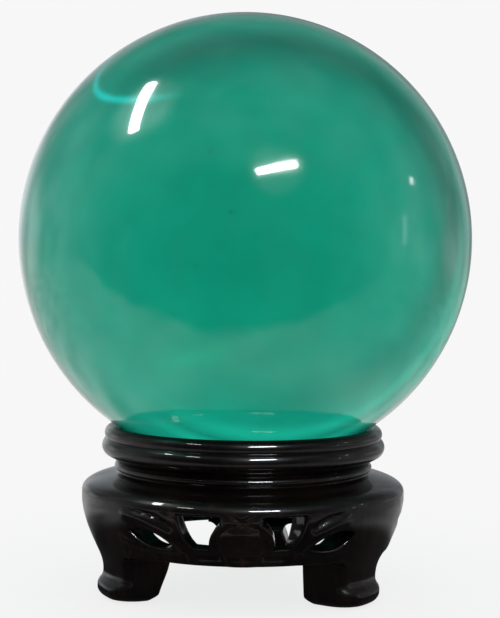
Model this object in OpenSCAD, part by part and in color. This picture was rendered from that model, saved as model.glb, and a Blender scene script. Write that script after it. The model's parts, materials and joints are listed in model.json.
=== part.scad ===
// Crystal ball on a turned and carved three-legged stand.
// The origin is on the floor, under the ball's centre. The front apron faces -Y. Millimetres.

/* [Crystal ball] */
// Diameter of the glass ball
ball_d = 100; // [90:1:115]

/* [Stand] */
// Height of the rim's lip above the floor
stand_h = 36.75; // [36.5:0.25:39]
// Diameter over the rim's lower bead
rim_d = 63; // [62:0.2:64]
// Diameter over the shoulder, the stand's widest part
shoulder_d = 71.8; // [70.4:0.2:74]

/* [Legs] */
// Width of a leg's foot
foot_w = 15; // [13.5:0.25:16]
// Width of a leg between two aprons
post_w = 11; // [10:0.25:12]
// How far the foot's scroll stands out past the ankle
scroll_out = 1.8; // [1:0.1:2.4]

/* [Apron] */
// Height of the apron's lower edge above the floor
apron_z = 10.75; // [10:0.25:11]
// Thickness of the apron's wall at its lower edge
apron_wall = 5; // [4.5:0.1:5.6]
// Length of a leaf-shaped piercing
leaf_len = 8.6; // [7.6:0.2:8.8]

/* [Small parts] */
// Diameter of the dowel between a leg and the shoulder
dowel_d = 4; // [3:0.1:4.6]
// Diameter of the pins through the three turned rings
pin_d = 2; // [1.5:0.1:2.6]
// Diameter of a foot pad
pad_d = 6; // [5:0.1:6.4]

/* [Hidden] */

$fn = 96;
eps = 0.05;               // room round a glued dowel, pin or tongue
far = 60;                 // longer than any cut through the stand
legs = 3;
leg_step = 360 / legs;

// Heights of the turned rings' joints
rim_z = stand_h - 8.1;
waist_z = rim_z - 1.8;
shoulder_z = waist_z - 4.4;

// Radii of the turned rings
rim_r = rim_d / 2;
lip_r = rim_r - 2.6;      // where the dish meets the lip
waist_r = rim_r - 2.8;
low_bead_r = 2.2;
high_bead_r = 1.7;
high_bead_back = 0.55;    // how far the upper bead stands behind the lower
collar_hole_r = 22;
shoulder_r = shoulder_d / 2;
shoulder_hole_r = 20;

// The ball lies on the seat ring, a little clear of the rim's dish
ball_r = ball_d / 2;
dish_gap = 0.3;
seat_gap = 0.1;
seat_t = 1.1;
seat_in_r = 23.2;
seat_out_r = 27.2;
ball_z = stand_h + sqrt(pow(ball_r + dish_gap, 2) - pow(lip_r, 2));

// Legs
sole_z = 0.3;             // the pads stand this far below the wood
ankle_r = shoulder_r - 4.4;
ankle_z = 5.6;
toe_r = 2.05;
heel_r = 20.6;
heel_round = 2.4;
heel_top_z = apron_z - 1.3;
post_in_r = shoulder_r - 7.9; // the post's inner face, between the aprons
corner_round = 1.8;       // rounding of the foot's lower corners
ear_fillet = 2.5;         // the curve between a leg and the apron's lower edge
ear_tip = 0.7;            // thickness of the ear's blunt end
ledge_z = apron_z + ear_tip;

// Apron
apron_r = shoulder_r - 5.1;
apron_thickening = 1;     // the wall is this much thicker at its top
apron_bead_r = 0.6;       // the rounded lower edge
wall_z = shoulder_z - 1.6; // legs and apron stand upright from here up
cup_angle = 14.7;         // each central piercing, either side of the panel's middle
cup_lean = 10;            // the piercings lean out towards the panel's ends behind
leaf_angle = 33.4;
leaf_lean = 20;
leaf_z = apron_z + 5.3;
leaf_h = 3.3;
leaf_tilt = 17;

// Small parts
dowel_at_r = shoulder_r - 4;
dowel_low_z = apron_z + 6;
dowel_top_z = shoulder_z + 1.5;
pin_at_r = 25.2;
pin_low_z = waist_z - 2.6;
pin_top_z = rim_z + 2.2;
pad_at_r = 27.2;
pad_h = 1;
tongue = [1.6, 2.6, 3.2]; // radial thickness, width across the joint, height
tongue_place = [shoulder_r - 5.8, post_w / 2, apron_z + 9.5];

wood = [0.13, 0.08, 0.07];

// Points along a cubic curve from a to d that leaves a towards b and reaches d from c
function curve(a, b, c, d, steps = 8) =
    [for (i = [0 : steps]) let (t = i / steps, s = 1 - t)
        s * s * s * a + 3 * s * s * t * b + 3 * s * t * t * c + t * t * t * d];

// Points along an arc about centre c, from angle a0 to angle a1
function arc(c, r, a0, a1, steps = 8) =
    [for (i = [0 : steps]) let (a = a0 + (a1 - a0) * i / steps)
        c + r * [cos(a), sin(a)]];

// A list of points mirrored left to right, in reverse order
function mirrored(points) =
    [for (i = [len(points) - 1 : -1 : 0]) [-points[i][0], points[i][1]]];

function leg_azimuth(k) = 90 + leg_step * k;
function panel_azimuth(k) = -90 + leg_step * (k - 1);

module ring_of_three(start) {
    for (k = [0 : legs - 1])
        rotate(start + leg_step * k) children();
}

// Extrudes an outline drawn in Y and Z along +X, from x0 outward
module radial(x0) {
    translate([x0, 0, 0]) rotate([90, 0, 90]) linear_extrude(far) children();
}

module ball_shape(grow) {
    translate([0, 0, ball_z]) sphere(r = ball_r + grow);
}

// ---- turned rings ----

module seat_band(in_r, out_r) {
    difference() {
        cylinder(h = stand_h, r = out_r);
        translate([0, 0, -1]) cylinder(h = stand_h + 2, r = in_r);
    }
}

module rim_section() {
    low_at = [rim_r - low_bead_r, rim_z + 3.6];
    under = curve([waist_r - 0.7, rim_z], [waist_r - 0.5, rim_z + 0.6],
                  [waist_r + 0.1, rim_z + 0.8], [waist_r + 0.9, rim_z + 1.5]);
    polygon(concat([[collar_hole_r, rim_z]], under,
                   [low_at, [rim_r - 2.9, stand_h], [collar_hole_r, stand_h]]));
    translate(low_at) circle(low_bead_r);
    translate([rim_r - high_bead_back - high_bead_r, stand_h - high_bead_r]) circle(high_bead_r);
}

// A cove under the neck, then an ogee out to the stand's widest edge
module shoulder_section() {
    ogee = curve([shoulder_r, shoulder_z], [shoulder_r, shoulder_z + 2.3],
                 [shoulder_r - 3.6, shoulder_z + 2.9], [waist_r + 0.7, waist_z - 0.75]);
    cove = curve([waist_r + 0.5, waist_z - 0.68], [waist_r - 0.3, waist_z - 0.5],
                 [waist_r - 0.8, waist_z - 0.3], [waist_r - 0.8, waist_z], 5);
    polygon(concat([[shoulder_hole_r, shoulder_z]], ogee, cove, [[shoulder_hole_r, waist_z]]));
}

module waist_section() {
    bead_r = (rim_z - waist_z) / 2;
    translate([collar_hole_r, waist_z])
        square([waist_r - bead_r - collar_hole_r, rim_z - waist_z]);
    translate([waist_r - bead_r, waist_z + bead_r]) circle(bead_r);
}

module pin_at(room = 0) {
    ring_of_three(panel_azimuth(1)) translate([pin_at_r, 0, pin_low_z - room])
        cylinder(h = pin_top_z - pin_low_z + 2 * room, d = pin_d + 2 * room);
}

module dowel_at(room = 0) {
    translate([dowel_at_r, 0, dowel_low_z - room])
        cylinder(h = dowel_top_z - dowel_low_z + 2 * room, d = dowel_d + 2 * room);
}

// ---- legs ----

// Section through a leg's middle, from the sole up the outside and down the inside
module leg_section() {
    toe = [ankle_r - toe_r + scroll_out, sole_z + toe_r];
    outside = curve([ankle_r, ankle_z], [ankle_r + 0.1, ankle_z + 4],
                    [shoulder_r - 0.3, shoulder_z - 8], [shoulder_r, wall_z]);
    inside = curve([post_in_r, heel_top_z + 3], [heel_r + 3.4, heel_top_z + 2],
                   [heel_r, heel_top_z + 1.7], [heel_r - 0.2, heel_top_z], 6);
    heel = arc([heel_r + heel_round, sole_z + heel_round], heel_round, 180, 270);
    polygon(concat(arc(toe, toe_r, -90, 75, 12), outside,
                   [[shoulder_r, shoulder_z], [post_in_r + 1.3, shoulder_z]], inside, heel));
}

// Half of a leg's front outline, from the sole's middle up to the post's top
function leg_side(top_z) = concat(
    arc([foot_w / 2 - corner_round, sole_z + corner_round], corner_round, -90, 0),
    arc([foot_w / 2 + ear_fillet, apron_z - ear_fillet], ear_fillet, 180, 90),
    [[foot_w / 2 + ear_fillet, ledge_z], [post_w / 2, ledge_z], [post_w / 2, top_z]]
);

module leg_outline(top_z) {
    polygon(concat(leg_side(top_z), mirrored(leg_side(top_z))));
}

module tongue_at(side, room = 0) {
    size = tongue + 2 * [room, room, room];
    translate([tongue_place[0], side * tongue_place[1], tongue_place[2]])
        cube(size, center = true);
}

module leg(k) {
    color(wood) rotate(leg_azimuth(k)) difference() {
        intersection() {
            rotate_extrude() leg_section();
            radial(heel_r / 2) leg_outline(shoulder_z);
        }
        dowel_at(eps);
        tongue_at(1, eps);
        tongue_at(-1, eps);
        translate([pad_at_r, 0, -1]) cylinder(h = pad_h + 1, d = pad_d + 2 * eps);
    }
}

// ---- apron ----

module apron_section() {
    bead = arc([apron_r - apron_bead_r / 2, apron_z + apron_bead_r], apron_bead_r, -90, 60, 6);
    outside = curve([apron_r + 0.1, apron_z + 1.4], [apron_r + 1.1, apron_z + 3],
                    [shoulder_r - 0.6, shoulder_z - 6.4], [shoulder_r, wall_z]);
    top_in_r = shoulder_r - apron_wall - apron_thickening;
    polygon(concat(bead, outside, [[shoulder_r, shoulder_z], [top_in_r, shoulder_z],
                                   [apron_r - apron_wall, apron_z]]));
}

// Cup-shaped central piercing: wide above, with a curl towards the panel's middle
module cup_outline(side) {
    inner_side = curve([-1.7, 4], [-1.9, 6.3], [-2.7, 8.4], [-4.7, 9.5], 6);
    top = curve([-4.6, 10.5], [-3, 11.2], [1, 10.9], [4.2, 11.1], 5);
    outer_side = curve([4, 10.3], [3.8, 7.7], [3.2, 5.3], [1.6, 4.2], 6);
    points = concat(inner_side, top, outer_side);
    translate([0, apron_z]) polygon([for (p = points) [side * p[0], p[1]]]);
}

// Leaf-shaped piercing: two arcs that meet in a point at each end
module leaf_outline(side) {
    r = (pow(leaf_len / 2, 2) + pow(leaf_h / 2, 2)) / leaf_h;
    translate([0, leaf_z]) rotate(side * leaf_tilt) intersection() {
        translate([0, r - leaf_h / 2]) circle(r);
        translate([0, leaf_h / 2 - r]) circle(r);
    }
}

// Cuts an outline through the wall at an azimuth, at a slant
module pierce(angle, lean) {
    rotate(angle) translate([apron_r, 0, 0]) rotate(-lean) radial(-2 * apron_wall) children();
}

module piercings() {
    for (side = [1, -1]) {
        pierce(side * cup_angle, side * cup_lean) cup_outline(side);
        pierce(side * leaf_angle, side * leaf_lean) leaf_outline(side);
    }
}

// The third of a turn between two legs' middles
module third() {
    half = leg_step / 2;
    linear_extrude(stand_h)
        polygon([[0, 0], 2 * far * [cos(half), -sin(half)], 2 * far * [cos(half), sin(half)]]);
}

module apron_panel(k) {
    color(wood) rotate(panel_azimuth(k)) difference() {
        intersection() {
            rotate_extrude() apron_section();
            third();
        }
        piercings();
        for (side = [1, -1]) rotate(side * leg_step / 2) {
            radial(heel_r / 2) leg_outline(stand_h);
            tongue_at(-side, eps);
        }
    }
}

// ---- named parts ----

module ball() {
    color([0.12, 0.62, 0.52, 0.7]) ball_shape(0);
}

module seat_ring() {
    color([0.1, 0.1, 0.11]) difference() {
        intersection() {
            seat_band(seat_in_r, seat_out_r);
            ball_shape(seat_t);
        }
        ball_shape(seat_gap);
    }
}

module rim_ring() {
    color(wood) difference() {
        rotate_extrude() rim_section();
        ball_shape(dish_gap);
        intersection() {
            ball_shape(seat_t + seat_gap);
            translate([0, 0, rim_z]) cylinder(h = far, r = seat_out_r + dish_gap);
        }
        pin_at(eps);
    }
}

module waist_ring() {
    color(wood) difference() {
        rotate_extrude() waist_section();
        pin_at(eps);
    }
}

module shoulder_ring() {
    color(wood) difference() {
        rotate_extrude() shoulder_section();
        pin_at(eps);
        ring_of_three(leg_azimuth(0)) dowel_at(eps);
    }
}

module leg_dowel(k) {
    color("burlywood") rotate(leg_azimuth(k)) dowel_at();
}

module foot_pad(k) {
    color([0.1, 0.1, 0.11]) rotate(leg_azimuth(k)) translate([pad_at_r, 0, 0])
        cylinder(h = pad_h, d = pad_d);
}

module apron_tongues() {
    color("burlywood") ring_of_three(leg_azimuth(0)) {
        tongue_at(1);
        tongue_at(-1);
    }
}

module collar_pins() {
    color("burlywood") pin_at();
}

ball();
seat_ring();
rim_ring();
waist_ring();
shoulder_ring();
apron_panel(1);  // apron_panel_1
apron_panel(2);  // apron_panel_2
apron_panel(3);  // apron_panel_3
leg(1);  // leg_1
leg(2);  // leg_2
leg(3);  // leg_3
leg_dowel(1);  // leg_dowel_1
leg_dowel(2);  // leg_dowel_2
leg_dowel(3);  // leg_dowel_3
foot_pad(1);  // foot_pad_1
foot_pad(2);  // foot_pad_2
foot_pad(3);  // foot_pad_3
apron_tongues();
collar_pins();
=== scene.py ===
import json
import math
import random

import bpy
import bmesh
import numpy as np
from mathutils import Matrix, Vector, geometry, noise

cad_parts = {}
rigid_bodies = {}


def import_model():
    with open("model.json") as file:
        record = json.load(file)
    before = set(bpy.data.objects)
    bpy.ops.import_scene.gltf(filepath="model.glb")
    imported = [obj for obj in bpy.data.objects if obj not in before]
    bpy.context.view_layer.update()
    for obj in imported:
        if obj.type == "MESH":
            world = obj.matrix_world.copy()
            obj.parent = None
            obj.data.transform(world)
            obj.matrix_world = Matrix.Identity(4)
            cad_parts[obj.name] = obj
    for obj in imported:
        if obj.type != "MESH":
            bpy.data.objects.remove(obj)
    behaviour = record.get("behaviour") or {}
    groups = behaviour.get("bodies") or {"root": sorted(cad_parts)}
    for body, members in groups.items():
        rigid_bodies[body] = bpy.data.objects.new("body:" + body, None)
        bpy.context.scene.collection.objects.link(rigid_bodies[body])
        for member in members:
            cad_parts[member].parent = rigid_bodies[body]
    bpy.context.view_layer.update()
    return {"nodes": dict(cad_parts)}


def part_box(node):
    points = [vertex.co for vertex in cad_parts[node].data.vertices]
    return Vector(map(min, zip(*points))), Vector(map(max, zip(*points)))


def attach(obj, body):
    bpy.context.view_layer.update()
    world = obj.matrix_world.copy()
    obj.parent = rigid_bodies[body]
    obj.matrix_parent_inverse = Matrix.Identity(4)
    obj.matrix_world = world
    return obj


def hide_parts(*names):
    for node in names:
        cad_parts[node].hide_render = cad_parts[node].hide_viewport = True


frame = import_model()

MM = 0.001

# ---------------------------------------------------------------- places, all from the frame

ball_lo, ball_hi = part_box("ball")
BALL_Z = (ball_lo.z + ball_hi.z) / 2
BALL_R = (ball_hi.z - ball_lo.z) / 2

rim_lo, rim_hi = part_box("rim_ring")
waist_lo, waist_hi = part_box("waist_ring")
_, shoulder_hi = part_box("shoulder_ring")
panel_lo, panel_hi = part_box("apron_panel_1")
leg_lo, leg_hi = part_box("leg_3")          # the leg that points along +Y
_, seat_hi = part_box("seat_ring")

RIM_R = rim_hi.x / MM
WAIST_R = waist_hi.x / MM
SHOULDER_R = shoulder_hi.x / MM
WIDE_R = leg_hi.y / MM                   # the legs and the apron at their widest, just under the shoulder
LIP_Z = rim_hi.z / MM
RIM_Z = rim_lo.z / MM
WAIST_Z = waist_lo.z / MM
TOP_Z = panel_hi.z / MM                  # the top of the legs and the apron
APRON_Z = panel_lo.z / MM
SOLE_Z = leg_lo.z / MM
EAR_HALF = leg_hi.x / MM                 # half a leg's width over its ears
SEAT_OUT_R = seat_hi.x / MM

LEGS = 3
LEG_STEP = math.tau / LEGS


def leg_azimuth(k):
    return math.pi / 2 + LEG_STEP * k


def panel_azimuth(k):
    return -math.pi / 2 + LEG_STEP * (k - 1)


# ---------------------------------------------------------------- camera

CAMERA_AZ = math.radians(4.5)            # the front apron's middle is turned this far from the camera
CAMERA_AWAY = 7.134 * BALL_R             # from the stand's axis
CAMERA_LENS = 93.2
CAMERA_TURN = math.radians(-0.187)
CAMERA_PITCH = math.radians(-2.46)
CAMERA_ROLL = math.radians(0.6)


def add_camera():
    data = bpy.data.cameras.new("camera")
    data.lens = CAMERA_LENS
    data.sensor_width = 36
    data.clip_start = 0.01
    data.clip_end = 20
    cam = bpy.data.objects.new("camera", data)
    bpy.context.scene.collection.objects.link(cam)
    place = Matrix.Translation((
        CAMERA_AWAY * math.sin(CAMERA_AZ), -CAMERA_AWAY * math.cos(CAMERA_AZ), BALL_Z))
    aim = (Matrix.Rotation(CAMERA_AZ + CAMERA_TURN, 4, "Z")
           @ Matrix.Rotation(math.pi / 2 + CAMERA_PITCH, 4, "X")
           @ Matrix.Rotation(CAMERA_ROLL, 4, "Z"))
    cam.matrix_world = place @ aim
    bpy.context.scene.camera = cam


add_camera()

# ---------------------------------------------------------------- mesh helpers

SHARP = math.radians(42)                 # edges sharper than this stay crisp
MERGE = 2e-6                             # vertices nearer than this become one
SAME_POINT = 1e-4                        # in mm, in an outline
TURN_STEPS = 240                         # round a turned ring
TURNED_WAVE = (5.0, 0.02)                # the size and height of a turned ring's unevenness
EDGE_ROWS = (0.08, 0.3, 0.62, 1.0)       # rows of points along a board's edge, as shares of its rounding
CLEAR_SHARE = 0.93                       # how much of its clearance a point has to keep
CLEAR_OF_EDGE = 1.15                     # how far the even points stay off the edge, in roundings
WALL_ROWS = 5                            # rows of faces through a board's thickness


def new_piece(name, verts, faces, material, body, node):
    """A smooth-shaded mesh, vertices in metres, that rides on a body, replaces a CAD node and has a slot."""
    mesh = bpy.data.meshes.new(name)
    mesh.from_pydata([Vector(v) for v in verts], [], faces)
    mesh.validate()
    mesh.polygons.foreach_set("use_smooth", [True] * len(mesh.polygons))
    mesh.materials.append(material)
    piece = bpy.data.objects.new(name, mesh)
    bpy.context.scene.collection.objects.link(piece)
    work = bmesh.new()
    work.from_mesh(mesh)
    bmesh.ops.remove_doubles(work, verts=work.verts, dist=MERGE)
    bmesh.ops.recalc_face_normals(work, faces=work.faces)
    work.to_mesh(mesh)
    work.free()
    mesh.set_sharp_from_angle(angle=SHARP)
    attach(piece, body)
    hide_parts(node)
    return piece


def bezier(a, b, c, d, steps):
    """Points along a cubic curve from a to d."""
    t = np.linspace(0, 1, steps + 1)[:, None]
    s = 1 - t
    a, b, c, d = (np.array(p, float) for p in (a, b, c, d))
    return s**3 * a + 3 * s**2 * t * b + 3 * s * t**2 * c + t**3 * d


def arc(centre, radius, start, end, steps):
    """Points along an arc, angles in degrees."""
    a = np.radians(np.linspace(start, end, steps + 1))[:, None]
    return np.array(centre, float) + radius * np.hstack([np.cos(a), np.sin(a)])


def join(*runs):
    """Runs of points as one loop, with points that fall together dropped."""
    points = np.vstack([np.atleast_2d(r) for r in runs])
    step = np.linalg.norm(points - np.roll(points, 1, axis=0), axis=1)
    return points[step > SAME_POINT]


def even(points, spacing):
    """A closed loop resampled at about one spacing, its corners kept."""
    out = []
    for i, p in enumerate(points):
        q = points[(i + 1) % len(points)]
        n = max(1, round(np.linalg.norm(q - p) / spacing))
        out += [p + (q - p) * k / n for k in range(n)]
    return np.array(out)


def waviness(x, y, z, size, height):
    """The slight unevenness of a hand-finished surface, in mm."""
    return height * noise.noise(Vector((x, y, z)) / size)


def revolve(loop):
    """A closed (r, z) loop in mm turned about the Z axis: vertices in metres, and faces."""
    verts, faces = [], []
    n = len(loop)
    for i in range(TURN_STEPS):
        a = math.tau * i / TURN_STEPS
        for r, z in loop:
            r += waviness(r * math.cos(a), r * math.sin(a), z, *TURNED_WAVE)
            verts.append((r * math.cos(a) * MM, r * math.sin(a) * MM, z * MM))
    for i in range(TURN_STEPS):
        j = (i + 1) % TURN_STEPS
        for k in range(n):
            m = (k + 1) % n
            faces.append((i * n + k, j * n + k, j * n + m, i * n + m))
    return verts, faces


def distance_to(points, starts, ends):
    """Each point's distance to the nearest of the segments."""
    best = np.full(len(points), 1e9)
    for p, q in zip(starts, ends):
        d = q - p
        t = np.clip(((points - p) @ d) / max(d @ d, 1e-12), 0, 1)
        best = np.minimum(best, np.linalg.norm(points - (p + t[:, None] * d), axis=1))
    return best


def inside(points, loop):
    """Whether each point is in the closed loop."""
    x, y = points[:, 0], points[:, 1]
    result = np.zeros(len(points), bool)
    for p, q in zip(loop, np.roll(loop, -1, axis=0)):
        crosses = (p[1] > y) != (q[1] > y)
        rise = q[1] - p[1] if q[1] != p[1] else 1e-12
        result ^= crosses & (x < (q[0] - p[0]) * (y - p[1]) / rise + p[0])
    return result


def fill(outline, holes, spacing, round_r):
    """Triangles over an outline with holes, denser near the edges: points, triangles, the loops' indices."""
    loops = [outline] + holes
    points, edges, first = [], [], 0
    ids = []
    for loop in loops:
        n = len(loop)
        ids.append(list(range(first, first + n)))
        edges += [(first + i, first + (i + 1) % n) for i in range(n)]
        points.append(loop)
        first += n
    starts = np.vstack(loops)
    ends = np.vstack([np.roll(l, -1, axis=0) for l in loops])
    extra = []
    for loop in loops:
        along = np.roll(loop, -1, axis=0) - np.roll(loop, 1, axis=0)
        along /= np.linalg.norm(along, axis=1)[:, None]
        across = np.column_stack([-along[:, 1], along[:, 0]])
        for share in EDGE_ROWS:
            for side in (1, -1):
                extra.append((loop + side * across * round_r * share, round_r * share))
    lo, hi = outline.min(0), outline.max(0)
    row_gap = spacing * 0.866                # of a triangular grid
    gx, gy = np.meshgrid(np.arange(lo[0], hi[0], spacing), np.arange(lo[1], hi[1], row_gap))
    gx[::2] += spacing / 2
    extra.append((np.column_stack([gx.ravel(), gy.ravel()]), round_r * CLEAR_OF_EDGE))
    for cloud, clear in extra:
        keep = inside(cloud, outline)
        for hole in holes:
            keep &= ~inside(cloud, hole)
        cloud = cloud[keep]
        points.append(cloud[distance_to(cloud, starts, ends) > clear * CLEAR_SHARE])
    points = np.vstack(points)
    out = geometry.delaunay_2d_cdt([Vector(p) for p in points], edges, [], 0, 1e-6)
    verts = np.array([tuple(v) for v in out[0]])
    tris = np.array([f for f in out[2] if len(f) == 3])
    middle = verts[tris].mean(axis=1)
    keep = inside(middle, outline)
    for hole in holes:
        keep &= ~inside(middle, hole)
    renamed = {}
    for new, olds in enumerate(out[3]):
        for old in olds:
            renamed[old] = new
    return verts, tris[keep], [[renamed[i] for i in loop] for loop in ids]


def slab(outline, holes, joint, outer, inner, spacing, round_r):
    """A curved board: outer(a, z, inset) and inner(a, z, inset) give its two faces in mm, with edges rounded
    everywhere but where joint(point) says that another piece meets it."""
    flat, tris, loops = fill(outline, holes, spacing, round_r)
    starts, ends = [], []
    for loop in [outline] + holes:
        for p, q in zip(loop, np.roll(loop, -1, axis=0)):
            if not joint((p + q) / 2):
                starts.append(p)
                ends.append(q)
    d = np.clip(round_r - distance_to(flat, starts, ends), 0, round_r)
    inset = round_r - np.sqrt(np.maximum(round_r**2 - d**2, 0))
    front = [outer(a, z, i) for (a, z), i in zip(flat, inset)]
    back = [inner(a, z, i) for (a, z), i in zip(flat, inset)]
    n = len(flat)
    verts = front + back
    faces = [tuple(t) for t in tris] + [(t[2] + n, t[1] + n, t[0] + n) for t in tris]
    for loop in loops:
        rows = [loop]
        for w in range(1, WALL_ROWS):
            row = []
            for i in loop:
                p, q = np.array(front[i]), np.array(back[i])
                row.append(len(verts))
                verts.append(tuple(p + (q - p) * w / WALL_ROWS))
            rows.append(row)
        rows.append([i + n for i in loop])
        for upper, lower in zip(rows, rows[1:]):
            for i in range(len(loop)):
                j = (i + 1) % len(loop)
                faces.append((upper[i], upper[j], lower[j], lower[i]))
    return verts, faces


def turned(verts, azimuth):
    """Vertices in mm, drawn about +X, turned to an azimuth and given in metres."""
    c, s = math.cos(azimuth), math.sin(azimuth)
    return [((x * c - y * s) * MM, (x * s + y * c) * MM, z * MM) for x, y, z in verts]


# ---------------------------------------------------------------- materials


def shader(name):
    """A new material with its node tree, its Principled shader and its output."""
    mat = bpy.data.materials.new(name)
    mat.use_nodes = True
    nodes = mat.node_tree.nodes
    return mat, mat.node_tree, nodes["Principled BSDF"], nodes["Material Output"]


def add_node(tree, kind, **settings):
    made = tree.nodes.new(kind)
    for key, value in settings.items():
        if key in made.inputs:
            made.inputs[key].default_value = value
        else:
            setattr(made, key, value)
    return made


def colour_ramp(tree, source, stops):
    """A ramp over a value: stops are (position, colour)."""
    ramp = tree.nodes.new("ShaderNodeValToRGB")
    marks = ramp.color_ramp.elements
    while len(marks) < len(stops):
        marks.new(0.5)
    for mark, (place, colour) in zip(marks, stops):
        mark.position = place
        mark.color = (*colour, 1)
    tree.links.new(source, ramp.inputs["Fac"])
    return ramp.outputs["Color"]


def grey(v):
    return (v, v, v)


def object_noise(tree, scale, detail, stretch=(1, 1, 1)):
    """Noise over the piece's own place in metres, stretched along an axis."""
    place = tree.nodes.new("ShaderNodeTexCoord").outputs["Object"]
    mapped = add_node(tree, "ShaderNodeMapping")
    mapped.inputs["Scale"].default_value = stretch
    tree.links.new(place, mapped.inputs["Vector"])
    made = add_node(tree, "ShaderNodeTexNoise")
    made.inputs["Scale"].default_value = scale
    made.inputs["Detail"].default_value = detail
    tree.links.new(mapped.outputs["Vector"], made.inputs["Vector"])
    return made.outputs["Fac"]


def add_bump(tree, bsdf, height, strength, distance, socket="Normal", under=None):
    bump = add_node(tree, "ShaderNodeBump")
    bump.inputs["Strength"].default_value = strength
    bump.inputs["Distance"].default_value = distance
    tree.links.new(height, bump.inputs["Height"])
    if under is not None:
        tree.links.new(under, bump.inputs["Normal"])
    tree.links.new(bump.outputs["Normal"], bsdf.inputs[socket])
    return bump.outputs["Normal"]


GLASS_PASSES = (0.05, 0.80, 0.715)       # the colour that the glass lets through
GLASS_DENSITY = 62.0                     # per metre
GLASS_LIGHT = (0.66, 0.9, 0.86)          # the light that gets through to what lies under the ball
GLASS_IOR = 1.5


def glass_material():
    """Clear teal glass, coloured through its depth, that lets the lamps light what lies under it."""
    mat, tree, bsdf, out = shader("teal_glass")
    bsdf.inputs["Base Color"].default_value = (1, 1, 1, 1)
    bsdf.inputs["Transmission Weight"].default_value = 1
    bsdf.inputs["IOR"].default_value = GLASS_IOR
    smear = object_noise(tree, 60, 3)
    haze = colour_ramp(tree, smear, [(0.4, grey(0.07)), (0.75, grey(0.13))])
    tree.links.new(haze, bsdf.inputs["Roughness"])
    clear = add_node(tree, "ShaderNodeBsdfTransparent")
    clear.inputs["Color"].default_value = (*GLASS_LIGHT, 1)
    path = tree.nodes.new("ShaderNodeLightPath")
    lighting = add_node(tree, "ShaderNodeMath", operation="MAXIMUM")
    tree.links.new(path.outputs["Is Shadow Ray"], lighting.inputs[0])
    tree.links.new(path.outputs["Is Diffuse Ray"], lighting.inputs[1])
    mix = tree.nodes.new("ShaderNodeMixShader")
    tree.links.new(lighting.outputs[0], mix.inputs["Fac"])
    tree.links.new(bsdf.outputs["BSDF"], mix.inputs[1])
    tree.links.new(clear.outputs["BSDF"], mix.inputs[2])
    tree.links.new(mix.outputs["Shader"], out.inputs["Surface"])
    depth = add_node(tree, "ShaderNodeVolumeAbsorption")
    depth.inputs["Color"].default_value = (*GLASS_PASSES, 1)
    depth.inputs["Density"].default_value = GLASS_DENSITY
    tree.links.new(depth.outputs["Volume"], out.inputs["Volume"])
    return mat


def lacquer_material():
    """Near-black gloss lacquer over dark red-brown wood, the grain just showing."""
    mat, tree, bsdf, _ = shader("black_lacquer")
    grain = object_noise(tree, 900, 5, (1, 1, 0.12))
    cloud = object_noise(tree, 90, 3)
    base = colour_ramp(tree, grain, [(0.35, (0.0026, 0.002, 0.0019)), (0.62, (0.006, 0.0036, 0.0032)),
                                     (0.8, (0.02, 0.009, 0.0065))])
    tint = colour_ramp(tree, cloud, [(0.4, (0.55, 0.5, 0.5)), (0.75, (1.5, 1.15, 1.1))])
    mix = add_node(tree, "ShaderNodeMix", data_type="RGBA", blend_type="MULTIPLY")
    mix.inputs["Factor"].default_value = 1
    tree.links.new(base, mix.inputs["A"])
    tree.links.new(tint, mix.inputs["B"])
    tree.links.new(mix.outputs["Result"], bsdf.inputs["Base Color"])
    rough = colour_ramp(tree, cloud, [(0.3, grey(0.3)), (0.8, grey(0.42))])
    tree.links.new(rough, bsdf.inputs["Roughness"])
    bsdf.inputs["Specular IOR Level"].default_value = 0.05
    bsdf.inputs["Coat Weight"].default_value = 0.52
    bsdf.inputs["Coat Roughness"].default_value = 0.05
    bsdf.inputs["Coat IOR"].default_value = 1.42
    add_bump(tree, bsdf, grain, 0.12, 0.0001)
    orange_peel = object_noise(tree, 420, 2)
    add_bump(tree, bsdf, orange_peel, 0.06, 0.0002, "Coat Normal")
    return mat


def bare_wood_material():
    mat, tree, bsdf, _ = shader("bare_wood")
    grain = object_noise(tree, 1400, 6, (1, 1, 0.1))
    base = colour_ramp(tree, grain, [(0.3, (0.24, 0.13, 0.06)), (0.55, (0.42, 0.26, 0.13)),
                                     (0.75, (0.55, 0.38, 0.22))])
    tree.links.new(base, bsdf.inputs["Base Color"])
    rough = colour_ramp(tree, grain, [(0.3, grey(0.75)), (0.7, grey(0.6))])
    tree.links.new(rough, bsdf.inputs["Roughness"])
    add_bump(tree, bsdf, grain, 0.4, 0.0001)
    return mat


def rubber_material(name, shade):
    mat, tree, bsdf, _ = shader(name)
    speck = object_noise(tree, 2600, 4)
    base = colour_ramp(tree, speck, [(0.35, grey(shade * 0.7)), (0.7, grey(shade * 1.6))])
    tree.links.new(base, bsdf.inputs["Base Color"])
    rough = colour_ramp(tree, speck, [(0.3, grey(0.62)), (0.7, grey(0.8))])
    tree.links.new(rough, bsdf.inputs["Roughness"])
    add_bump(tree, bsdf, speck, 0.3, 0.00005)
    return mat


glass = glass_material()
lacquer = lacquer_material()
bare_wood = bare_wood_material()
seat_rubber = rubber_material("seat_rubber", 0.02)
pad_rubber = rubber_material("pad_rubber", 0.03)

# ---------------------------------------------------------------- the ball

BALL_FACE_STEPS = 72                     # quads along each of the six faces that the ball is rounded from
SEED_COUNT = 7                           # tiny air bubbles in the glass
SEED_FACE_STEPS = 6
SEED_R = (0.12, 0.3)                     # smallest and largest, in mm
SEED_AWAY = (0.2, 0.8)                   # nearest and furthest from the ball's middle, in radii
RANDOM_SEED = 7


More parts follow.
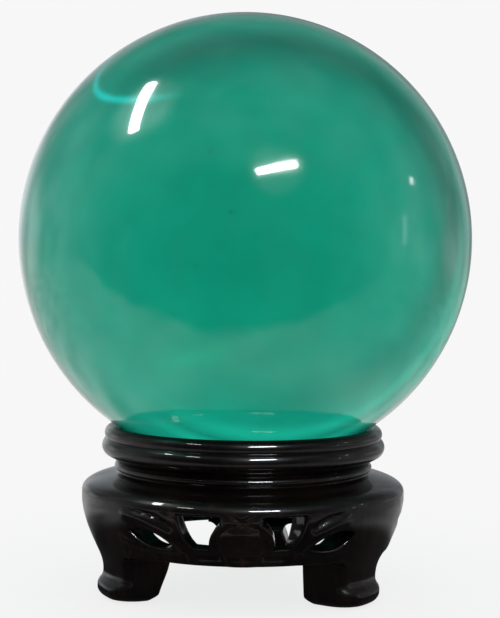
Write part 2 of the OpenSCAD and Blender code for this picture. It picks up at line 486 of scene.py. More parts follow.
def round_shell(centre, radius, steps, inward=False):
    """A cube's six faces pushed out onto a sphere, evenly spaced. inward faces it into a bubble."""
    work = bmesh.new()
    bmesh.ops.create_cube(work, size=2)
    bmesh.ops.subdivide_edges(work, edges=work.edges, cuts=steps - 1, use_grid_fill=True)
    for v in work.verts:
        tangent = Vector([math.tan(c * math.pi / 4) for c in v.co])
        v.co = Vector(centre) + tangent.normalized() * radius
    if inward:
        bmesh.ops.reverse_faces(work, faces=work.faces)
    return work


def add_ball():
    """The glass sphere, with a few seeds shut in the glass."""
    mesh = bpy.data.meshes.new("glass_ball")
    work = round_shell((0, 0, BALL_Z), BALL_R, BALL_FACE_STEPS)
    draw = random.Random(RANDOM_SEED)
    for _ in range(SEED_COUNT):
        towards = Vector([draw.gauss(0, 1) for _ in range(3)]).normalized()
        centre = Vector((0, 0, BALL_Z)) + towards * BALL_R * draw.uniform(*SEED_AWAY)
        seed = round_shell(centre, draw.uniform(*SEED_R) * MM, SEED_FACE_STEPS, inward=True)
        part = bpy.data.meshes.new("seed")
        seed.to_mesh(part)
        seed.free()
        work.from_mesh(part)
        bpy.data.meshes.remove(part)
    work.to_mesh(mesh)
    work.free()
    mesh.polygons.foreach_set("use_smooth", [True] * len(mesh.polygons))
    mesh.materials.append(glass)
    ball = bpy.data.objects.new("glass_ball", mesh)
    bpy.context.scene.collection.objects.link(ball)
    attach(ball, "ball")
    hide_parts("ball")


add_ball()

# ---------------------------------------------------------------- turned rings

COLLAR_HOLE_R = 22.0
SHOULDER_HOLE_R = 20.0
DISH_GAP = 0.3                           # between the rim's dish and the ball
SEAT_REBATE = 1.2                        # how far below the ball the seat ring's rebate lies
EDGE = 0.25                              # rounding of a turned edge


def under_ball(r, gap):
    """The height at radius r of a surface a gap below the ball."""
    return BALL_Z / MM - math.sqrt((BALL_R / MM + gap) ** 2 - r * r)


def rim_loop():
    """Section of the rim: two beads with a groove between them, a lip, and the dish for the seat ring."""
    low_r, high_r = 2.2, 1.7
    low_c, high_c = (RIM_R - low_r, RIM_Z + 3.6), (RIM_R - 0.55 - high_r, LIP_Z - high_r)
    foot = [(COLLAR_HOLE_R + EDGE, RIM_Z), (WAIST_R - 0.75, RIM_Z)]
    under = bezier((WAIST_R - 0.7, RIM_Z + 0.1), (WAIST_R - 0.5, RIM_Z + 0.6), (WAIST_R + 0.1, RIM_Z + 0.8),
                   (WAIST_R + 0.9, RIM_Z + 1.3), 8)
    low = arc(low_c, low_r, -52, 46, 24)
    high = arc(high_c, high_r, -36, 92, 26)
    lip_r = math.sqrt((BALL_R / MM + DISH_GAP) ** 2 - (BALL_Z / MM - LIP_Z + 0.12) ** 2)
    wall_r = SEAT_OUT_R + 0.3
    dish = [(r, under_ball(r, DISH_GAP)) for r in np.linspace(lip_r, wall_r, 6)]
    rebate = [(r, under_ball(r, SEAT_REBATE)) for r in np.linspace(wall_r, COLLAR_HOLE_R + EDGE, 12)]
    bore = [(COLLAR_HOLE_R, under_ball(COLLAR_HOLE_R, SEAT_REBATE) - EDGE), (COLLAR_HOLE_R, RIM_Z + EDGE)]
    return join(foot, under, low, high, dish, rebate, bore)


def waist_loop():
    """Section of the neck: a small bead."""
    half = (RIM_Z - WAIST_Z) / 2
    bead = arc((WAIST_R - half, WAIST_Z + half), half, -90, 90, 24)
    return join([(COLLAR_HOLE_R, WAIST_Z)], bead, [(COLLAR_HOLE_R, RIM_Z)])


def shoulder_loop():
    """Section of the shoulder: a cove under the neck, then an ogee out to the stand's widest edge."""
    ogee = bezier((SHOULDER_R, TOP_Z), (SHOULDER_R, TOP_Z + 2.3), (SHOULDER_R - 3.6, TOP_Z + 2.9),
                  (WAIST_R + 0.7, WAIST_Z - 0.75), 40)
    cove = bezier((WAIST_R + 0.5, WAIST_Z - 0.68), (WAIST_R - 0.3, WAIST_Z - 0.5),
                  (WAIST_R - 0.8, WAIST_Z - 0.3), (WAIST_R - 0.8, WAIST_Z), 8)
    return join([(SHOULDER_HOLE_R + EDGE, TOP_Z)], ogee, cove,
                [(SHOULDER_HOLE_R + EDGE, WAIST_Z), (SHOULDER_HOLE_R, WAIST_Z - EDGE),
                 (SHOULDER_HOLE_R, TOP_Z + EDGE)])


for name, loop, node in (
    ("turned_rim", rim_loop(), "rim_ring"),
    ("turned_waist", waist_loop(), "waist_ring"),
    ("turned_shoulder", shoulder_loop(), "shoulder_ring"),
):
    verts, faces = revolve(loop)
    new_piece(name, verts, faces, lacquer, "stand", node)

# ---------------------------------------------------------------- legs

POST_HALF = 5.5
FOOT_HALF = 7.5
EAR_FILLET = EAR_HALF - FOOT_HALF
LEDGE_Z = APRON_Z + 0.7
TOE_R = 2.05
ANKLE_R = 31.5
ANKLE_Z = 5.6
HEEL_R = 20.6
HEEL_TOP_Z = APRON_Z - 1.3
POST_IN_R = 28.0                         # the post's inner face, between the aprons
FOOT_SHIFT = {1: 0.0, 2: 0.0, 3: -1.5}   # how far each foot is carved off its post's middle
HEEL_IN = {1: 2.6, 2: 0.2, 3: 1.2}       # how far each leg's heel is carved in at the sole
CORNER_R_IN = 0.9                        # rounding of the inner corners
SOLE_ROUND = 1.4                         # how far the heel is rounded in at the sole,
SOLE_ROUND_HIGH = 1.6                    # and up to what height
FRONT_POINTS = 15
SIDE_POINTS = 12
CORNER_PARTS = 9
CORNER_PARTS_IN = 5


def table_of(points):
    """The first value as a function of the second, from points whose second value rises."""
    points = np.array(points)
    order = np.argsort(points[:, 1], kind="stable")
    return lambda z: float(np.interp(z, points[order, 1], points[order, 0]))


def ease(t):
    t = min(1, max(0, t))
    return t * t * (3 - 2 * t)


leg_out = table_of(np.vstack([
    arc((ANKLE_R - 0.25, SOLE_Z + TOE_R), TOE_R, -90, 58, 30),
    bezier((ANKLE_R + 0.7, ANKLE_Z - 1.4), (ANKLE_R + 0.1, ANKLE_Z - 0.9), (ANKLE_R, ANKLE_Z - 0.4),
           (ANKLE_R, ANKLE_Z + 0.6), 8),
    bezier((ANKLE_R, ANKLE_Z + 0.7), (ANKLE_R + 0.1, ANKLE_Z + 4.0), (WIDE_R - 0.3, TOP_Z - 8.0),
           (WIDE_R, TOP_Z - 1.6), 40),
    [(WIDE_R, TOP_Z)],
]))
leg_in = table_of(np.vstack([
    [(HEEL_R, SOLE_Z)],
    bezier((HEEL_R - 0.2, HEEL_TOP_Z), (HEEL_R, HEEL_TOP_Z + 1.7), (HEEL_R + 3.4, HEEL_TOP_Z + 2.0),
           (POST_IN_R, HEEL_TOP_Z + 3.0), 24),
    [(POST_IN_R + 1.3, TOP_Z)],
]))
leg_half = table_of(np.vstack([
    arc((FOOT_HALF - 2.2, SOLE_Z + 2.2), 2.2, -80, 0, 12),
    arc((EAR_HALF, APRON_Z - EAR_FILLET), EAR_FILLET, 180, 90, 12),
    [(EAR_HALF, LEDGE_Z)],
]))
leg_corner = table_of([(4.6, SOLE_Z), (4.2, 2.6), (2.4, 4.4), (1.5, 6.5), (1.2, APRON_Z - 0.4),
                       (0.0, APRON_Z), (0.0, TOP_Z)])


def leg_ring(z, half, heel_in, shift):
    """A leg's level section in mm: x away from the stand's axis, y across the leg."""
    out = leg_out(z)
    inner = leg_in(z) + heel_in * (1 - ease(z / HEEL_TOP_Z))
    inner += SOLE_ROUND * (1 - ease((z - SOLE_Z) / SOLE_ROUND_HIGH))
    deep = out - inner
    round_out = min(leg_corner(z), half - 0.1)
    front = np.linspace(-(half - round_out), half - round_out, FRONT_POINTS)
    ring = [(deep, a) for a in front[1:-1]]
    ring += [tuple(p) for p in arc((deep - round_out, half - round_out), round_out, 0, 90, CORNER_PARTS)]
    side = np.linspace(deep - round_out, CORNER_R_IN, SIDE_POINTS)[1:-1]
    ring += [(x, half) for x in side]
    ring += [tuple(p) for p in arc((CORNER_R_IN, half - CORNER_R_IN), CORNER_R_IN, 90, 180, CORNER_PARTS_IN)]
    ring += [(x, -a) for x, a in ring[len(front) - 2:]][::-1]
    placed = []
    for x, a in ring:
        bow = out - math.sqrt(out * out - a * a)
        placed.append((inner + x - bow * max(0, x) / deep, a + shift, z))
    return placed


def leg_levels():
    """Heights of the sections, and half widths where they don't follow the outline."""
    low = list(SOLE_Z + 2.3 * (1 - np.cos(np.linspace(0, math.pi / 2, 13))))
    middle = list(np.linspace(low[-1], APRON_Z - EAR_FILLET, 14)[1:])
    fillet = list(APRON_Z - EAR_FILLET + EAR_FILLET * np.sin(np.linspace(0, math.pi / 2, 10))[1:])
    levels = [(z, leg_half(z)) for z in low + middle + fillet + [LEDGE_Z]]
    bend = list(np.linspace(LEDGE_Z, HEEL_TOP_Z + 3.0, 8)[:-1])
    return levels + [(z, POST_HALF) for z in bend + list(np.linspace(HEEL_TOP_Z + 3.0, TOP_Z, 20))]


def foot_shift(k, z):
    """How far leg k is moved across itself: all of FOOT_SHIFT up to the ankle, nothing from the apron up."""
    return FOOT_SHIFT[k] * (1 - ease((z - ANKLE_Z) / (APRON_Z - ANKLE_Z)))


for k in range(1, LEGS + 1):
    rings = [leg_ring(z, half, HEEL_IN[k], foot_shift(k, z)) for z, half in leg_levels()]
    count = len(rings[0])
    verts = [p for ring in rings for p in ring]
    faces = [tuple(range(count))[::-1], tuple(len(verts) - count + i for i in range(count))]
    for level in range(len(rings) - 1):
        for i in range(count):
            j = (i + 1) % count
            low, high = level * count, (level + 1) * count
            faces.append((low + i, low + j, high + j, high + i))
    new_piece(f"scroll_leg_{k}", turned(verts, leg_azimuth(k)), faces, lacquer,
              "stand", f"leg_{k}")

# ---------------------------------------------------------------- apron

ARC_R = 34.0                             # the radius at which the apron's outline is drawn
APRON_R = 30.8
APRON_WALL = 5.0
APRON_ROUND = 0.45
APRON_SPACING = 0.5                      # between the points of its mesh
HOLE_SPACING = 0.35
OUTLINE_SPACING = 0.45
APRON_WAVE = (3.0, 0.06)                 # the size and height of its unevenness
APRON_WAVE_PLACE = 9.0                   # where in the noise it is taken
LOBE = (4.6, 3.7, 4.7, 0.45)             # the middle lobe: half width, middle height, half height, relief
CUP_AT = math.radians(14.7) * ARC_R
LEAF_AT = math.radians(33.4) * ARC_R
LEAF_HALF = 5.0
LEAF_HIGH = 3.5
LEAF_TILT = math.radians(17)
LEAF_Z = APRON_Z + 5.3
FRONT_SHIFT = 2.5                        # the front panel's carving sits this far off its middle, towards +X
FRONT_DEPTH, FRONT_PLAIN_FROM = 1.0, 0.74  # how deep its relief is, and where on its half that fades out
REAR_DEPTH, REAR_PLAIN_FROM = 0.6, 0.42


def apron_end(r):
    """The angle at radius r where the apron meets a leg's side."""
    return LEG_STEP / 2 - math.asin(POST_HALF / r)


ARC_HALF = apron_end(ARC_R) * ARC_R

apron_out = table_of(np.vstack([
    [(APRON_R, APRON_Z)],
    bezier((APRON_R + 0.1, APRON_Z + 1.4), (APRON_R + 1.1, APRON_Z + 3), (WIDE_R - 0.6, TOP_Z - 6.4),
           (WIDE_R, TOP_Z - 1.6), 40),
    [(WIDE_R, TOP_Z)],
]))
apron_in = table_of([(APRON_R - APRON_WALL, APRON_Z), (WIDE_R - APRON_WALL - 1, TOP_Z)])


def cup_hole(side, shift):
    """The central piercing, with a curl towards the panel's middle."""
    points = join(
        bezier((-1.7, 3.8), (-1.9, 6.3), (-2.7, 8.4), (-4.9, 9.6), 10),
        bezier((-4.6, 10.8), (-3.2, 11.4), (1, 10.9), (4.2, 11.1), 10),
        bezier((4.1, 10.3), (3.8, 7.7), (3.2, 5.3), (1.6, 3.9), 10),
    )
    points = points + (CUP_AT, APRON_Z)
    return even(points * (side, 1) + (shift, 0), HOLE_SPACING)


def leaf_hole(side, shift):
    r = (LEAF_HALF**2 + (LEAF_HIGH / 2) ** 2) / LEAF_HIGH
    swing = math.degrees(math.asin(LEAF_HALF / r))
    points = join(arc((0, LEAF_HIGH / 2 - r), r, 90 + swing, 90 - swing, 14),
                  arc((0, r - LEAF_HIGH / 2), r, 270 + swing, 270 - swing, 14))
    c, s = math.cos(LEAF_TILT), math.sin(LEAF_TILT)
    points = points @ np.array([[c, s], [-s, c]]) + (LEAF_AT, LEAF_Z)
    return even(points * (side, 1) + (shift, 0), HOLE_SPACING)


def apron_outline():
    notch = EAR_HALF - POST_HALF
    side = [(0, APRON_Z), (ARC_HALF - notch, APRON_Z), (ARC_HALF - notch, LEDGE_Z), (ARC_HALF, LEDGE_Z),
            (ARC_HALF, TOP_Z)]
    other = [(-a, z) for a, z in side[:0:-1]]
    return even(np.array(side + other), OUTLINE_SPACING)


def near_curve(points):
    """The segments of a carved line, for distance_to."""
    points = np.array(points)
    return points[:-1], points[1:]


# Carved lines on one half of a panel, in mm along the arc from its middle and up from its lower edge:
# (line, height, half width)
CARVED = (
    (near_curve(bezier((25.5, 10.4), (20.0, 9.7), (14.2, 7.1), (11.6, 1.7), 16)), 0.55, 1.1),
    (near_curve(bezier((22.8, 11.3), (19.6, 11.0), (16.6, 10.5), (14.6, 8.3), 10)), -0.5, 0.5),
    (near_curve(bezier((12.4, 3.1), (16.4, 2.1), (22.6, 2.4), (27.4, 4.8), 12)), 0.4, 0.8),
    (near_curve([(0, 0.85), (30, 0.85)]), 0.3, 0.75),
    (near_curve([(0, 2.1), (10, 2.1)]), -0.2, 0.3),
    (near_curve([(0, 9.9), (2.0, 11.4)]), -0.45, 0.38),
    (near_curve(bezier((4.9, 2.3), (5.4, 6.9), (3.8, 9.3), (0, 9.4), 12)), -0.35, 0.35),
)


def relief(a, z):
    """How far the carving stands out at a place on a panel."""
    z -= APRON_Z
    p = np.array([[abs(a), z]])
    height = 0.0
    for (starts, ends), lift, wide in CARVED:
        d = distance_to(p, starts, ends)[0]
        height += lift * math.exp(-((d / wide) ** 2))
    half_wide, middle, half_high, lift = LOBE
    lobe = 1 - (abs(a) / half_wide) ** 2.5 - (abs(z - middle) / half_high) ** 2.5
    height += lift * min(1, max(0, lobe * 2))
    return height


def apron_at(a, z, r, surface_r, slant=0.0):
    angle = a / ARC_HALF * apron_end(surface_r) + math.copysign(slant, a)
    return (r * math.cos(angle), r * math.sin(angle), z)


def apron_outer(a, z, inset, shift, depth, plain_from):
    """The carved face, blended into the legs' outside. Its carving fades out from the share plain_from."""
    out = abs(a) / ARC_HALF
    to_leg = ease((out - 0.5) / 0.33)
    base = apron_out(z) * (1 - to_leg) + leg_out(z) * to_leg
    carved = depth * relief(a - shift, z) * (1 - ease((out - plain_from) / 0.15))
    carved += waviness(a, z, APRON_WAVE_PLACE, *APRON_WAVE) * (1 - ease((out - 0.8) / 0.15))
    return apron_at(a, z, base - inset + carved * min(1, (TOP_Z - z) / 1.2), base)


# The piercings lean out towards the panel's ends: along the arc from the middle, by how many degrees behind
SLANT = np.array([(0, 0), (4, 1.6), (8.7, 3.2), (14, 4.4), (20, 5.2), (25, 3.4), (ARC_HALF, 0)])
# The front panel's +X half, where the central piercing leans the other way
FRONT_SLANT = np.array([(0, 0), (6, -2.0), (11, -4.0), (14, -2.0), (17, 2.0), (22.3, 5.0), (27, 2.6),
                        (ARC_HALF, 0)])


def apron_inner(a, z, inset, table):
    base = apron_in(z)
    slant = math.radians(np.interp(abs(a), table[:, 0], table[:, 1]))
    return apron_at(a, z, base + inset, base, slant)


def apron_joint(p):
    """Where a panel meets the shoulder and the legs."""
    return p[1] > TOP_Z - 0.01 or abs(p[0]) > ARC_HALF - (EAR_HALF - POST_HALF) - 0.01


def add_apron(k, shift, depth, plain_from):
    def outer(a, z, inset):
        return apron_outer(a, z, inset, shift, depth, plain_from)

    def inner(a, z, inset):
        return apron_inner(a, z, inset, FRONT_SLANT if k == 1 and a > 0 else SLANT)

    holes = [make(side, shift) for make in (cup_hole, leaf_hole) for side in (1, -1)]
    verts, faces = slab(apron_outline(), holes, apron_joint, outer, inner, APRON_SPACING, APRON_ROUND)
    new_piece(f"carved_apron_{k}", turned(verts, panel_azimuth(k)), faces, lacquer,
              "stand", f"apron_panel_{k}")


add_apron(1, FRONT_SHIFT, FRONT_DEPTH, FRONT_PLAIN_FROM)
add_apron(2, 0.0, REAR_DEPTH, REAR_PLAIN_FROM)
add_apron(3, 0.0, REAR_DEPTH, REAR_PLAIN_FROM)

# ---------------------------------------------------------------- carried-over CAD nodes


def dress(node, material):
    obj = frame["nodes"][node]
    obj.data.materials.clear()
    obj.data.materials.append(material)


dress("seat_ring", seat_rubber)
dress("apron_tongues", bare_wood)
dress("collar_pins", bare_wood)
for k in range(1, LEGS + 1):
    dress(f"leg_dowel_{k}", bare_wood)
    dress(f"foot_pad_{k}", pad_rubber)

# ---------------------------------------------------------------- floor, world and lamps

FLOOR_HALF = 6.0
FLOOR_SHADE = 0.9
FLOOR_GLOW = 0.85                        # the share of the floor's paleness that shadows don't take away
BACKDROP = 0.93                          # what the camera sees behind the object
SOFT_LIGHT = 1.03                        # the even light that falls on matt surfaces

# What mirror reflections see of the floor. A pair is where a change begins and ends, in metres.
NEAR_FLOOR = (0.038, 0.06)               # a mirror nearer to the floor than this sees it in shade
NEAR_LEVEL, TABLE_LEVEL = 0.06, 0.86     # how bright it is there, and elsewhere
TABLE_FRONT = (-0.125, -0.1)             # mirrors see a dark room in front of this edge
EDGE_WOBBLE = 0.07
TABLE_RIGHT = (0.02, 0.14)               # a dimmer table top to the right of this
RIGHT_LEVEL = 0.55
TABLE_END = (0.3, 0.9)                   # the room again, further from the stand than this
TABLE_MOTTLE = (22, 4, 0.75, 1.15)       # scale, detail, darkest and palest
LEFT_FLOOR = ((-0.02, -0.06), (-0.015, 0.01))  # a patch on the left, by x and by y,
LEFT_NEAR_FLOOR = (0.085, 0.06)          # which mirrors nearer than this see in deeper shade
LEFT_DEPTH = 0.8

# What they see of the room
FRONT_LEVEL, BACK_LEVEL = 0.07, 0.42     # of the room from in front to behind
BEHIND_LEFT = (0.1, 0.3, 0.45, 0.08)     # a paler wall behind on the left: heights, and its gain at each
CEILING_LEVEL, CEILING_BEHIND = 0.3, 0.2
ROOM_SPOTS = (                           # direction, full within and gone beyond these degrees, gain
    ((-0.62, -0.08, 0.78), 3, 17, 1.5),
    ((0.30, -0.77, 0.56), 3, 15, 0.8),
    ((0.98, 0.05, -0.05), 4, 18, 0.4),
    ((0.75, 0.6, -0.3), 5, 25, 0.35),
)
ROOM_MOTTLE = (2.6, 4, 0.55, 1.45)
MIRROR_TINT = (0.94, 1.0, 1.04)

# What is seen through the glass
UPPER_LEFT_BANDS = (                     # middle, half width, gain
    (0.93, 0.1, -0.2), (0.77, 0.07, 0.4), (0.69, 0.025, -0.2), (0.62, 0.07, 0.55),
)
LEFT_WALL = ((-0.9, 0.1, 0.42), 2, 24)   # direction, full within and gone beyond these degrees
LEFT_WALL_GAIN = 1.2
# The streak is painted light: the lamp light that the ball gathers onto the table behind it on the right
STREAK_ACROSS = (-0.075, -0.566, 0.821)  # the streak is part of a ring about this direction,
STREAK_RING = (-0.864, 0.012)            # at this cosine from it, and this wide,
STREAK_PART = ((0.5, 0.65, -0.57), 16, 30)  # about here
STREAK_GAIN = 1.1
STREAK_COLOUR = (0.55, 1.0, 1.4)
GLASS_ROOM_MOTTLE = (9, 3, 0.95, 1.05)
BALL_MIRRORED = 0.25                     # the share of that light left where the lacquer mirrors the ball


class Sums:
    """Arithmetic between a node tree's values."""

    def __init__(self, tree):
        self.tree = tree

    def fill(self, socket, value):
        if isinstance(value, (int, float, tuple)):
            socket.default_value = value
        else:
            self.tree.links.new(value, socket)

    def do(self, operation, a, b=0.0):
        made = add_node(self.tree, "ShaderNodeMath", operation=operation)
        self.fill(made.inputs[0], a)
        self.fill(made.inputs[1], b)
        return made.outputs[0]

    def add(self, a, b):
        return self.do("ADD", a, b)

    def times(self, a, b):
        return self.do("MULTIPLY", a, b)

    def step(self, value, lo, hi, out_lo=0.0, out_hi=1.0):
        """A smooth step from out_lo at lo to out_hi at hi."""
        if lo > hi:
            lo, hi, out_lo, out_hi = hi, lo, out_hi, out_lo
        made = add_node(self.tree, "ShaderNodeMapRange", interpolation_type="SMOOTHSTEP")
        self.fill(made.inputs["Value"], value)
        for name, number in (("From Min", lo), ("From Max", hi), ("To Min", out_lo), ("To Max", out_hi)):
            made.inputs[name].default_value = number
        return made.outputs["Result"]

    def bump(self, value, middle, half):
        """One at the middle, nothing beyond half either side."""
        away = self.do("ABSOLUTE", self.add(value, -middle))
        return self.step(away, 0.0, half, 1.0, 0.0)

    def mix(self, factor, a, b):
        made = self.tree.nodes.new("ShaderNodeMix")
        self.fill(made.inputs["Factor"], factor)
        self.fill(made.inputs["A"], a)
        self.fill(made.inputs["B"], b)
        return made.outputs["Result"]

    def dot(self, vector, direction):
        made = add_node(self.tree, "ShaderNodeVectorMath", operation="DOT_PRODUCT")
        self.tree.links.new(vector, made.inputs[0])
        made.inputs[1].default_value = tuple(Vector(direction).normalized())
        return made.outputs["Value"]

    def spot(self, vector, direction, inner, outer):
        """A soft round patch about a direction, full within inner degrees and gone beyond outer."""
        edge, core = (math.cos(math.radians(a)) for a in (outer, inner))
        return self.step(self.dot(vector, direction), edge, core)


def add_floor():
    """A pale floor, mostly lit from within for the camera. Mirrors see a table top, shaded by the stand."""
    corners = [(x * FLOOR_HALF, y * FLOOR_HALF, 0) for x, y in ((-1, -1), (1, -1), (1, 1), (-1, 1))]
    mesh = bpy.data.meshes.new("floor")
    mesh.from_pydata(corners, [], [(0, 1, 2, 3)])
    floor = bpy.data.objects.new("floor", mesh)
    mat, tree, bsdf, out = shader("pale_floor")
    sums = Sums(tree)
    mottle = object_noise(tree, 6, 2)
    shade = colour_ramp(tree, mottle, [(0.3, grey(FLOOR_SHADE)), (0.7, grey(FLOOR_SHADE * 1.01))])
    tree.links.new(shade, bsdf.inputs["Base Color"])
    bsdf.inputs["Roughness"].default_value = 1
    bsdf.inputs["Specular IOR Level"].default_value = 0
    place = tree.nodes.new("ShaderNodeTexCoord").outputs["Object"]
    parts = tree.nodes.new("ShaderNodeSeparateXYZ")
    tree.links.new(place, parts.inputs["Vector"])
    flat = [parts.outputs["X"], parts.outputs["Y"]]
    away = add_node(tree, "ShaderNodeVectorMath", operation="LENGTH")
    tree.links.new(place, away.inputs[0])
    away = away.outputs["Value"]
    path = tree.nodes.new("ShaderNodeLightPath")
    level = sums.step(path.outputs["Ray Length"], *NEAR_FLOOR, NEAR_LEVEL, TABLE_LEVEL)
    level = sums.times(level, sums.step(flat[0], *TABLE_RIGHT, 1.0, RIGHT_LEVEL))
    shaded = sums.times(sums.step(flat[0], *LEFT_FLOOR[0]), sums.step(flat[1], *LEFT_FLOOR[1]))
    shaded = sums.times(shaded, sums.step(path.outputs["Ray Length"], *LEFT_NEAR_FLOOR))
    level = sums.times(level, sums.add(1.0, sums.times(shaded, -LEFT_DEPTH)))
    level = sums.times(level, mottled(sums, place, *TABLE_MOTTLE))
    wobble = sums.times(sums.add(object_noise(tree, 13, 3), -0.5), EDGE_WOBBLE)
    edge = sums.add(flat[1], wobble)
    on_table = sums.times(sums.step(edge, *TABLE_FRONT), sums.step(away, *TABLE_END, 1.0, 0.0))
    level_way = add_node(tree, "ShaderNodeVectorMath", operation="NORMALIZE")
    tree.links.new(place, level_way.inputs[0])
    across = [sums.do("DIVIDE", v, away) for v in flat]
    room = mirrored_room(sums, level_way.outputs["Vector"], *across, 0.0)
    level = sums.mix(on_table, room, level)
    mirrored = tree.nodes.new("ShaderNodeEmission")
    tree.links.new(level, mirrored.inputs["Strength"])
    glow = add_node(tree, "ShaderNodeEmission", Strength=BACKDROP)
    paper = tree.nodes.new("ShaderNodeMixShader")
    tree.links.new(sums.times(path.outputs["Is Camera Ray"], FLOOR_GLOW), paper.inputs["Fac"])
    tree.links.new(bsdf.outputs["BSDF"], paper.inputs[1])
    tree.links.new(glow.outputs["Emission"], paper.inputs[2])
    choose = tree.nodes.new("ShaderNodeMixShader")
    tree.links.new(path.outputs["Is Glossy Ray"], choose.inputs["Fac"])
    tree.links.new(paper.outputs["Shader"], choose.inputs[1])
    tree.links.new(mirrored.outputs["Emission"], choose.inputs[2])
    tree.links.new(choose.outputs["Shader"], out.inputs["Surface"])
    mesh.materials.append(mat)
    bpy.context.scene.collection.objects.link(floor)
    floor.visible_transmission = False


def mottled(sums, way, scale, detail, lo, hi):
    """Soft uneven patches, for a room that is not empty."""
    noise = add_node(sums.tree, "ShaderNodeTexNoise")
    noise.inputs["Scale"].default_value = scale
    noise.inputs["Detail"].default_value = detail
    sums.tree.links.new(way, noise.inputs["Vector"])
    return sums.step(noise.outputs["Fac"], 0.3, 0.7, lo, hi)


def mirrored_room(sums, way, x, y, z):
    """What shiny surfaces see in a direction: a dark room in front, pale walls behind, a dim ceiling."""
    level = sums.step(y, -0.85, 0.1, FRONT_LEVEL, BACK_LEVEL)
    behind_left = sums.times(sums.step(x, 0.1, -0.6), sums.step(y, -0.1, 0.5))
    level = sums.add(level, sums.times(behind_left, sums.step(z, *BEHIND_LEFT)))
    level = sums.mix(sums.step(z, 0.45, 0.8), level, CEILING_LEVEL)
    level = sums.mix(sums.times(sums.step(z, 0.35, 0.6), sums.step(y, 0.0, 0.6)), level, CEILING_BEHIND)
    for direction, inner, outer, gain in ROOM_SPOTS:
        level = sums.add(level, sums.times(sums.spot(way, direction, inner, outer), gain))
    return sums.times(level, mottled(sums, way, *ROOM_MOTTLE))


def room_through_glass(sums, way, x, y, z):
    """What is seen through the glass: an even room, with part of a darker ring low on the left, which is
    painted shade for the ball's shadow on the table behind it, a pale wall to the upper left and one bright
    streak, which is painted light for the lamp light that the ball gathers onto the table behind it on the
    right. Also gives the streak alone."""
    level = sums.step(x, 0.1, 0.95, 0.96, 0.8)
    # low_left and ring give painted shade: the ball's shadow on the table behind it, darkened into the room
    low_left = sums.step(sums.dot(way, (-0.5, 0, -0.87)), 0.05, 0.5)
    ring = sums.bump(sums.add(y, sums.times(x, -0.22)), 0.74, 0.24)
    level = sums.times(level, sums.add(1.0, sums.times(sums.times(ring, low_left), -0.5)))
    up_left = sums.step(sums.dot(way, (-0.55, 0, 0.83)), 0.3, 0.62)
    slope = sums.add(y, sums.times(x, -0.35))
    for middle, half, gain in UPPER_LEFT_BANDS:
        level = sums.add(level, sums.times(sums.times(sums.bump(slope, middle, half), up_left), gain))
    level = sums.add(level, sums.times(sums.spot(way, *LEFT_WALL), LEFT_WALL_GAIN))
    level = sums.times(level, sums.step(z, 0.75, 0.95, 1.0, 0.3))
    # the streak is painted light, the lamp light that the ball gathers onto the table behind it on the right
    streak = sums.bump(sums.dot(way, STREAK_ACROSS), *STREAK_RING)
    streak = sums.times(streak, sums.spot(way, *STREAK_PART))
    level = sums.add(level, sums.times(streak, STREAK_GAIN))
    return sums.times(level, mottled(sums, way, *GLASS_ROOM_MOTTLE)), streak


def add_world():
    """White for the camera, an even light for matt surfaces, a room for mirrors and one for the glass."""
    world = bpy.data.worlds.new("studio")
    bpy.context.scene.world = world
    world.use_nodes = True
    tree = world.node_tree
    sums = Sums(tree)
    background = tree.nodes["Background"]
    way = tree.nodes.new("ShaderNodeTexCoord").outputs["Generated"]
    parts = tree.nodes.new("ShaderNodeSeparateXYZ")
    tree.links.new(way, parts.inputs["Vector"])
    xyz = [parts.outputs[axis] for axis in "XYZ"]
    path = tree.nodes.new("ShaderNodeLightPath")
    level = sums.mix(path.outputs["Is Glossy Ray"], SOFT_LIGHT, mirrored_room(sums, way, *xyz))
    behind, streak = room_through_glass(sums, way, *xyz)
    behind = sums.times(behind, sums.step(path.outputs["Glossy Depth"], 0.2, 0.8, 1.0, BALL_MIRRORED))
    level = sums.mix(path.outputs["Is Transmission Ray"], level, behind)
    level = sums.mix(path.outputs["Is Camera Ray"], level, BACKDROP)
    tree.links.new(level, background.inputs["Strength"])
    colour = add_node(tree, "ShaderNodeMix", data_type="RGBA")
    tint = add_node(tree, "ShaderNodeMix", data_type="RGBA")
    tint.inputs["A"].default_value = (1, 1, 1, 1)
    tint.inputs["B"].default_value = (*MIRROR_TINT, 1)
    tree.links.new(path.outputs["Is Glossy Ray"], tint.inputs["Factor"])
    tree.links.new(tint.outputs["Result"], colour.inputs["A"])
    # the streak's painted light gets its own colour, through the glass only
    colour.inputs["B"].default_value = (*STREAK_COLOUR, 1)
    tree.links.new(sums.times(path.outputs["Is Transmission Ray"], streak), colour.inputs["Factor"])
    tree.links.new(colour.outputs["Result"], background.inputs["Color"])


def towards(azimuth, elevation):
    a, e = math.radians(azimuth), math.radians(elevation)
    return Vector((math.sin(a) * math.cos(e), -math.cos(a) * math.cos(e), math.sin(e)))


LAMP_AWAY = 1.5

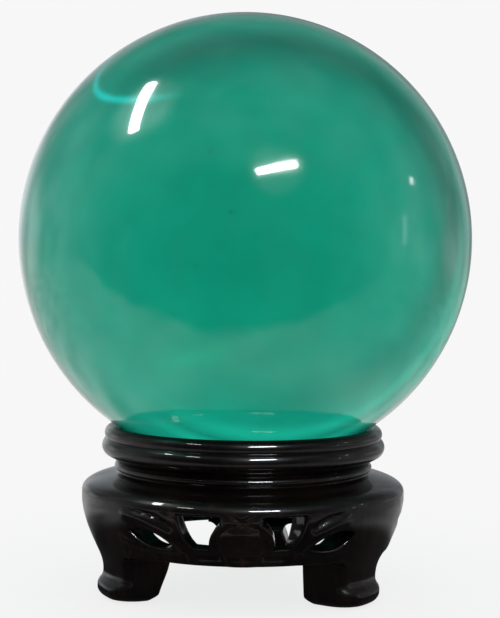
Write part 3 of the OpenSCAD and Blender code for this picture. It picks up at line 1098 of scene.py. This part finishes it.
# Each lamp: two ends as (azimuth, elevation) in degrees from the ball, width in degrees, radiance, colour.
# They give highlights only.
LAMPS = {
    "left_tube": ((-103.2, 57.4), (-72.3, 42.7), 4.6, 60.0, (1, 1, 1)),
    "front_tube": ((10.0, 32.3), (32.9, 35.5), 3.4, 60.0, (1, 1, 1)),
    "far_lamp": ((98.5, 20.3), (100.9, 20.3), 2.2, 12.0, (1, 1, 1)),
    "right_strip": ((88.0, 9.5), (87.0, -1.0), 2.4, 2.2, (0.75, 0.86, 1)),
}
# These reach only the lacquered pieces, all but the rear leg
STAND_LAMPS = {
    "stand_front_tube": ((10.0, 31.0), (32.9, 34.2), 6.0, 170.0, (0.86, 0.93, 1)),
    "stand_left_tube": ((-52.0, 44.0), (-38.0, 44.0), 3.0, 60.0, (1, 1, 1)),
}


def add_lamp(name, end_a, end_b, wide, radiance, colour):
    """A rectangle of light that faces the ball, with its long side between two directions."""
    a, b = towards(*end_a), towards(*end_b)
    middle = (a + b).normalized()
    along = (b - a).normalized()
    data = bpy.data.lights.new(name, "AREA")
    data.shape = "RECTANGLE"
    data.size = 2 * LAMP_AWAY * math.tan(a.angle(b) / 2)
    data.size_y = 2 * LAMP_AWAY * math.tan(math.radians(wide) / 2)
    data.color = colour
    data.energy = radiance * math.pi * data.size * data.size_y
    lamp = bpy.data.objects.new(name, data)
    turn = Matrix((along, middle.cross(along), middle)).transposed().to_4x4()
    lamp.matrix_world = Matrix.Translation(Vector((0, 0, BALL_Z)) + middle * LAMP_AWAY) @ turn
    lamp.visible_camera = lamp.visible_diffuse = lamp.visible_transmission = False
    bpy.context.scene.collection.objects.link(lamp)
    return lamp


add_floor()
add_world()
for name, lamp in LAMPS.items():
    add_lamp(name, *lamp)

on_stand = bpy.data.collections.new("lit_by_the_stand_lamps")
rear_leg = f"scroll_leg_{LEGS}"
for piece in bpy.context.scene.objects:
    if piece.type == "MESH" and lacquer.name in piece.data.materials and piece.name != rear_leg:
        on_stand.objects.link(piece)
for name, lamp in STAND_LAMPS.items():
    add_lamp(name, *lamp).light_linking.receiver_collection = on_stand

bpy.context.scene.view_settings.view_transform = "Standard"
